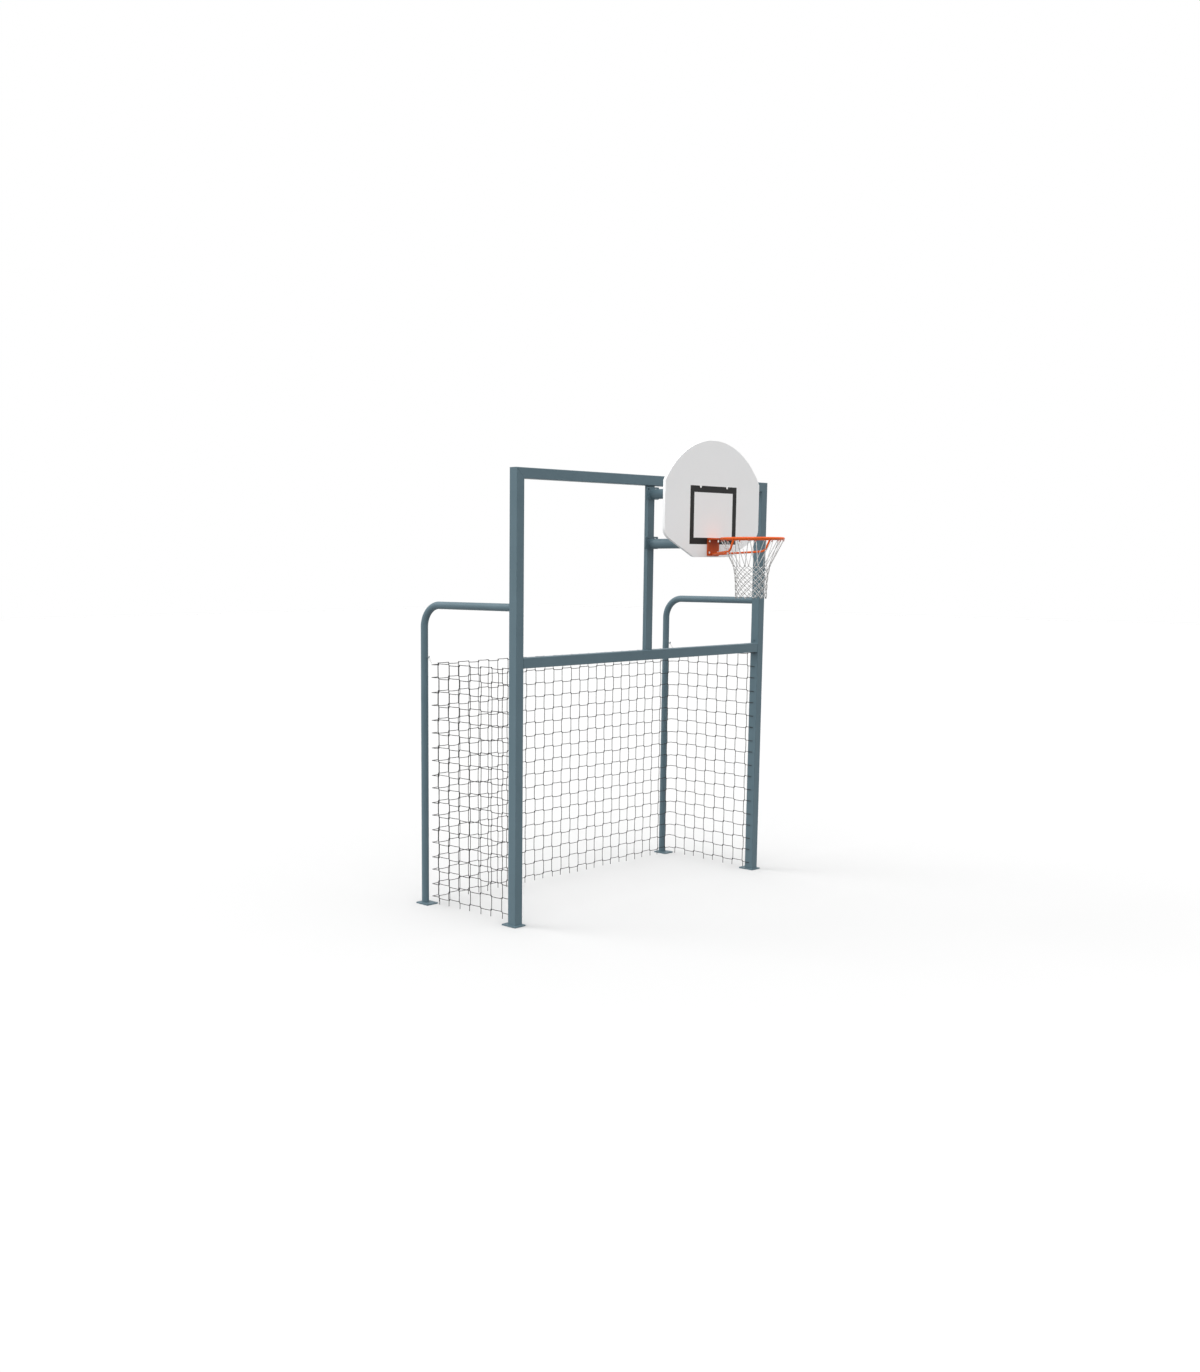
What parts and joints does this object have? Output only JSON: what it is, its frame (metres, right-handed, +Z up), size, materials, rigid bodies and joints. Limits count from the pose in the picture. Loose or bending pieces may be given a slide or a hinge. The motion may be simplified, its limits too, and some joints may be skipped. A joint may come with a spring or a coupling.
{
  "type": "combination handball basketball goal",
  "caption": "Steel-tube goal with a handball mouth, string nets at its sides and back, and a half-moon board and netted basket carried on arms above the crossbar.",
  "frame": {"origin": "on the ground (Z = 0) in the middle of the goal's overall box: X = 0 is the middle of the mouth, and Y = 0 is half way between the rim's front and the rear base plates' back edges", "axes": "+X along the mouth, to the right for a player who faces it, +Y from the field into the goal, +Z up"},
  "size_m": [3.2, 2.368, 3.74],
  "materials": {
    "blue_grey_paint": "satin blue-grey powder coat on steel",
    "board_laminate": "off-white board with a black aiming rectangle",
    "orange_paint": "satin orange-red powder coat on steel",
    "zinc_steel": "bright zinc-plated bolts and nuts",
    "white_cord": "white braided cord",
    "grey_cord": "dark grey twisted cord"
  },
  "bodies": {
    "root": {"left_post": "blue_grey_paint", "right_post": "blue_grey_paint", "top_beam": "blue_grey_paint", "crossbar": "blue_grey_paint", "centre_post": "blue_grey_paint", "left_rear_hoop": "blue_grey_paint", "right_rear_hoop": "blue_grey_paint", "left_front_base_plate": "blue_grey_paint", "right_front_base_plate": "blue_grey_paint", "left_rear_base_plate": "blue_grey_paint", "right_rear_base_plate": "blue_grey_paint", "upper_arm": "blue_grey_paint", "lower_arm": "blue_grey_paint", "upper_arm_flange": "blue_grey_paint", "lower_arm_flange": "blue_grey_paint", "upper_arm_head_plate": "blue_grey_paint", "lower_arm_head_plate": "blue_grey_paint", "left_corner_hook": "blue_grey_paint", "right_corner_hook": "blue_grey_paint", "backboard": "board_laminate", "rim_ring": "orange_paint", "rim_back_plate": "orange_paint", "rim_top_plate": "orange_paint", "left_rim_strut": "orange_paint", "right_rim_strut": "orange_paint", "rim_net_hook_01": "orange_paint", "rim_net_hook_02": "orange_paint", "rim_net_hook_03": "orange_paint", "rim_net_hook_04": "orange_paint", "rim_net_hook_05": "orange_paint", "rim_net_hook_06": "orange_paint", "rim_net_hook_07": "orange_paint", "rim_net_hook_08": "orange_paint", "rim_net_hook_09": "orange_paint", "rim_net_hook_10": "orange_paint", "rim_net_hook_11": "orange_paint", "rim_net_hook_12": "orange_paint", "lower_left_rim_bolt": "zinc_steel", "lower_right_rim_bolt": "zinc_steel", "upper_left_rim_bolt": "zinc_steel", "upper_right_rim_bolt": "zinc_steel", "lower_left_rim_nut": "zinc_steel", "lower_right_rim_nut": "zinc_steel", "upper_left_rim_nut": "zinc_steel", "upper_right_rim_nut": "zinc_steel", "left_board_bolt": "zinc_steel", "right_board_bolt": "zinc_steel", "left_board_nut": "zinc_steel", "right_board_nut": "zinc_steel", "basket_net": "white_cord", "left_corner_tie": "white_cord", "right_corner_tie": "white_cord", "back_net": "grey_cord", "left_side_net": "grey_cord", "right_side_net": "grey_cord"}
  },
  "joints": []
}
